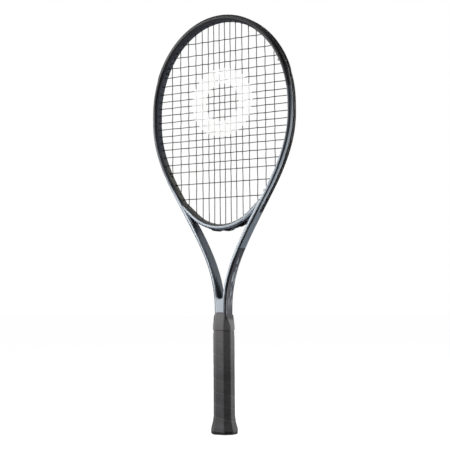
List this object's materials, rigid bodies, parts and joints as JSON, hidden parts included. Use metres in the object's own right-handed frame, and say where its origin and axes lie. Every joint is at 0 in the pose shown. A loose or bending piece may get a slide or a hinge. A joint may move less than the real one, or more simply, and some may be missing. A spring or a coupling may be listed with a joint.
{
  "type": "tennis racket",
  "caption": "Strung adult tennis racket with an oval head, open throat, bumper guard, grommet strips and an octagonal wrapped grip with a flared butt.",
  "frame": {"origin": "middle of the butt end's lowest face, on the racket's long axis", "axes": "+Z from the butt to the head's tip, +X across the face, +Y through the thickness with the front face at -Y"},
  "size_m": [0.2648, 0.0372, 0.6858],
  "materials": {
    "frame_paint": "painted carbon composite, satin silver, slate and black",
    "guard_plastic": "moulded nylon, matte black",
    "string": "round monofilament, dark grey",
    "handle_foam": "rigid polyurethane foam",
    "cap_plastic": "moulded black plastic",
    "lid_plastic": "moulded black plastic, glossier",
    "staple_steel": "galvanised wire",
    "grip": "synthetic leather grip strip, perforated, dark grey",
    "tape": "self-adhesive vinyl tape",
    "collar_rubber": "stretched rubber sleeve, grey"
  },
  "bodies": {
    "root": {"frame_hairpin": "frame_paint", "throat_bridge": "frame_paint", "bumper_guard": "guard_plastic", "side_grommet_strip_left": "guard_plastic", "side_grommet_strip_right": "guard_plastic", "bridge_grommet_strip": "guard_plastic", "main_string": "string", "cross_string": "string", "handle_pallet_front": "handle_foam", "handle_pallet_back": "handle_foam", "butt_cap": "cap_plastic", "butt_cap_lid": "lid_plastic", "butt_staple_left": "staple_steel", "butt_staple_right": "staple_steel", "grip_wrap": "grip", "finishing_tape": "tape", "grip_collar": "collar_rubber"}
  },
  "joints": []
}
